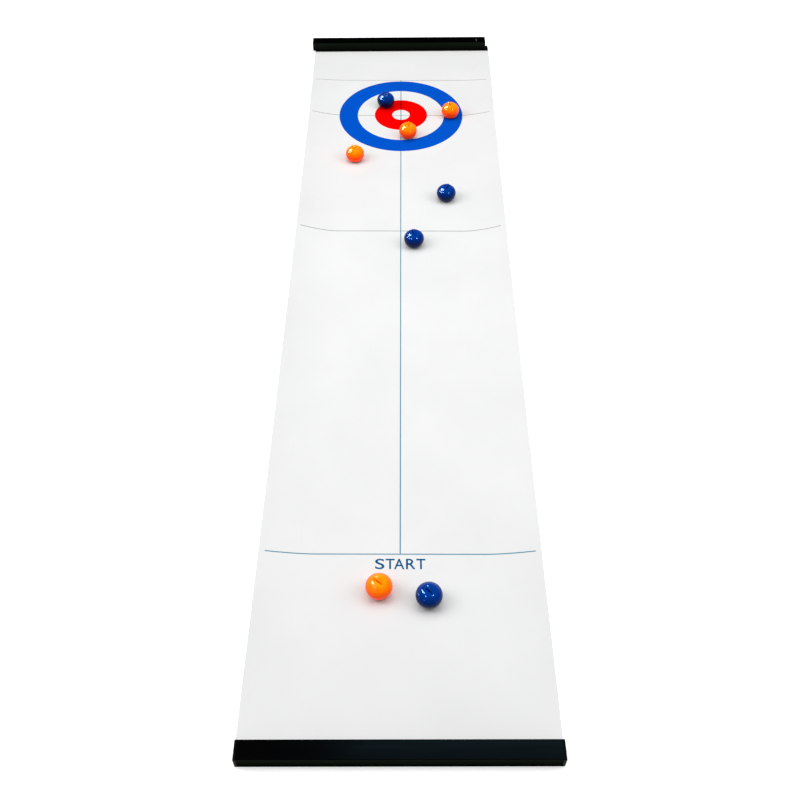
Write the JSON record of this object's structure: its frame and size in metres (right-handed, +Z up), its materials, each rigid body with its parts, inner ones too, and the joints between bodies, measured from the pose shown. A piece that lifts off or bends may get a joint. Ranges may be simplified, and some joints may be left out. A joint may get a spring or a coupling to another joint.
{
  "type": "tabletop curling game",
  "caption": "Roll-out tabletop curling game: a curling printed sheet between sliding end rails, with domed stones that glide on steel balls.",
  "frame": {"origin": "middle of the mat's underside, on the surface that the game lies on", "axes": "+X across the mat to the thrower's right, +Y along the mat towards the house, +Z up"},
  "size_m": [0.2836, 1.1674, 0.0224],
  "materials": {
    "mat_sheet": "semi-gloss",
    "strip": "satin",
    "rail": "gloss",
    "end_cap": "gloss",
    "shell_orange": "gloss",
    "shell_blue": "gloss",
    "bearing_plastic": "satin",
    "steel_ball": "polished"
  },
  "bodies": {
    "mat": {"mat": "mat_sheet", "near_strip": "strip", "far_strip": "strip"},
    "near_rail": {"near_rail": "rail", "near_cap_left": "end_cap", "near_cap_right": "end_cap"},
    "far_rail": {"far_rail": "rail", "far_cap_left": "end_cap", "far_cap_right": "end_cap"},
    "blue_1_carrier": {"blue_1_socket": "bearing_plastic", "blue_1_retainer": "bearing_plastic"},
    "blue_1_stone": {"blue_1_shell": "shell_blue"},
    "blue_1_roller": {"blue_1_ball": "steel_ball"},
    "orange_1_carrier": {"orange_1_socket": "bearing_plastic", "orange_1_retainer": "bearing_plastic"},
    "orange_1_stone": {"orange_1_shell": "shell_orange"},
    "orange_1_roller": {"orange_1_ball": "steel_ball"},
    "orange_2_carrier": {"orange_2_socket": "bearing_plastic", "orange_2_retainer": "bearing_plastic"},
    "orange_2_stone": {"orange_2_shell": "shell_orange"},
    "orange_2_roller": {"orange_2_ball": "steel_ball"},
    "orange_3_carrier": {"orange_3_socket": "bearing_plastic", "orange_3_retainer": "bearing_plastic"},
    "orange_3_stone": {"orange_3_shell": "shell_orange"},
    "orange_3_roller": {"orange_3_ball": "steel_ball"},
    "blue_2_carrier": {"blue_2_socket": "bearing_plastic", "blue_2_retainer": "bearing_plastic"},
    "blue_2_stone": {"blue_2_shell": "shell_blue"},
    "blue_2_roller": {"blue_2_ball": "steel_ball"},
    "blue_3_carrier": {"blue_3_socket": "bearing_plastic", "blue_3_retainer": "bearing_plastic"},
    "blue_3_stone": {"blue_3_shell": "shell_blue"},
    "blue_3_roller": {"blue_3_ball": "steel_ball"},
    "orange_4_carrier": {"orange_4_socket": "bearing_plastic", "orange_4_retainer": "bearing_plastic"},
    "orange_4_stone": {"orange_4_shell": "shell_orange"},
    "orange_4_roller": {"orange_4_ball": "steel_ball"},
    "blue_4_carrier": {"blue_4_socket": "bearing_plastic", "blue_4_retainer": "bearing_plastic"},
    "blue_4_stone": {"blue_4_shell": "shell_blue"},
    "blue_4_roller": {"blue_4_ball": "steel_ball"}
  },
  "joints": [
    {"name": "near_rail_slide", "type": "slide", "parent": "mat", "child": "near_rail", "axis": [1, 0.0056, 0], "range_m": [-0.0254, 0.0246]},
    {"name": "far_rail_slide", "type": "slide", "parent": "mat", "child": "far_rail", "axis": [0.9998, 0.0192, 0], "range_m": [-0.0205, 0.0295]},
    {"name": "blue_1_glide", "type": "slide", "parent": "mat", "child": "blue_1_carrier", "axis": [0, 1, 0], "range_m": [-0.0348, 0.1202]},
    {"name": "blue_1_spin", "type": "hinge", "parent": "blue_1_carrier", "child": "blue_1_stone", "pos_m": [-0.024, 0.4048, 0.0066], "axis": [0, 0, 1], "continuous": true},
    {"name": "blue_1_roll", "type": "hinge", "parent": "blue_1_carrier", "child": "blue_1_roller", "pos_m": [-0.024, 0.4048, 0.0066], "axis": [1, 0, 0], "continuous": true},
    {"name": "orange_1_glide", "type": "slide", "parent": "mat", "child": "orange_1_carrier", "axis": [0, 1, 0], "range_m": [-0.0203, 0.1467]},
    {"name": "orange_1_spin", "type": "hinge", "parent": "orange_1_carrier", "child": "orange_1_stone", "pos_m": [0.0719, 0.3783, 0.0066], "axis": [0, 0, 1], "continuous": true},
    {"name": "orange_1_roll", "type": "hinge", "parent": "orange_1_carrier", "child": "orange_1_roller", "pos_m": [0.0719, 0.3783, 0.0066], "axis": [1, 0, 0], "continuous": true},
    {"name": "orange_2_glide", "type": "slide", "parent": "mat", "child": "orange_2_carrier", "axis": [0, 1, 0], "range_m": [-0.0137, 0.1993]},
    {"name": "orange_2_spin", "type": "hinge", "parent": "orange_2_carrier", "child": "orange_2_stone", "pos_m": [0.0092, 0.3257, 0.0066], "axis": [0, 0, 1], "continuous": true},
    {"name": "orange_2_roll", "type": "hinge", "parent": "orange_2_carrier", "child": "orange_2_roller", "pos_m": [0.0092, 0.3257, 0.0066], "axis": [1, 0, 0], "continuous": true},
    {"name": "orange_3_glide", "type": "slide", "parent": "mat", "child": "orange_3_carrier", "axis": [0, 1, 0], "range_m": [-0.7939, 0.2561]},
    {"name": "orange_3_spin", "type": "hinge", "parent": "orange_3_carrier", "child": "orange_3_stone", "pos_m": [-0.0657, 0.2689, 0.0066], "axis": [0, 0, 1], "continuous": true},
    {"name": "orange_3_roll", "type": "hinge", "parent": "orange_3_carrier", "child": "orange_3_roller", "pos_m": [-0.0657, 0.2689, 0.0066], "axis": [1, 0, 0], "continuous": true},
    {"name": "blue_2_glide", "type": "slide", "parent": "mat", "child": "blue_2_carrier", "axis": [0, 1, 0], "range_m": [-0.7052, 0.1498]},
    {"name": "blue_2_spin", "type": "hinge", "parent": "blue_2_carrier", "child": "blue_2_stone", "pos_m": [0.0605, 0.1802, 0.0066], "axis": [0, 0, 1], "continuous": true},
    {"name": "blue_2_roll", "type": "hinge", "parent": "blue_2_carrier", "child": "blue_2_roller", "pos_m": [0.0605, 0.1802, 0.0066], "axis": [1, 0, 0], "continuous": true},
    {"name": "blue_3_glide", "type": "slide", "parent": "mat", "child": "blue_3_carrier", "axis": [0, 1, 0], "range_m": [-0.0172, 0.1988]},
    {"name": "blue_3_spin", "type": "hinge", "parent": "blue_3_carrier", "child": "blue_3_stone", "pos_m": [0.0164, 0.0852, 0.0066], "axis": [0, 0, 1], "continuous": true},
    {"name": "blue_3_roll", "type": "hinge", "parent": "blue_3_carrier", "child": "blue_3_roller", "pos_m": [0.0164, 0.0852, 0.0066], "axis": [1, 0, 0], "continuous": true},
    {"name": "orange_4_glide", "type": "slide", "parent": "mat", "child": "orange_4_carrier", "axis": [0, 1, 0], "range_m": [-0.1061, 0.7589]},
    {"name": "orange_4_spin", "type": "hinge", "parent": "orange_4_carrier", "child": "orange_4_stone", "pos_m": [-0.0198, -0.4189, 0.0066], "axis": [0, 0, 1], "continuous": true},
    {"name": "orange_4_roll", "type": "hinge", "parent": "orange_4_carrier", "child": "orange_4_roller", "pos_m": [-0.0198, -0.4189, 0.0066], "axis": [1, 0, 0], "continuous": true},
    {"name": "blue_4_glide", "type": "slide", "parent": "mat", "child": "blue_4_carrier", "axis": [0, 1, 0], "range_m": [-0.0969, 0.4681]},
    {"name": "blue_4_spin", "type": "hinge", "parent": "blue_4_carrier", "child": "blue_4_stone", "pos_m": [0.0274, -0.4281, 0.0066], "axis": [0, 0, 1], "continuous": true},
    {"name": "blue_4_roll", "type": "hinge", "parent": "blue_4_carrier", "child": "blue_4_roller", "pos_m": [0.0274, -0.4281, 0.0066], "axis": [1, 0, 0], "continuous": true}
  ],
  "couplings": [
    {"joint": "blue_1_roll", "follows": "blue_1_glide", "rad_per_m": -181.82},
    {"joint": "orange_1_roll", "follows": "orange_1_glide", "rad_per_m": -181.82},
    {"joint": "orange_2_roll", "follows": "orange_2_glide", "rad_per_m": -181.82},
    {"joint": "orange_3_roll", "follows": "orange_3_glide", "rad_per_m": -181.82},
    {"joint": "blue_2_roll", "follows": "blue_2_glide", "rad_per_m": -181.82},
    {"joint": "blue_3_roll", "follows": "blue_3_glide", "rad_per_m": -181.82},
    {"joint": "orange_4_roll", "follows": "orange_4_glide", "rad_per_m": -181.82},
    {"joint": "blue_4_roll", "follows": "blue_4_glide", "rad_per_m": -181.82}
  ]
}
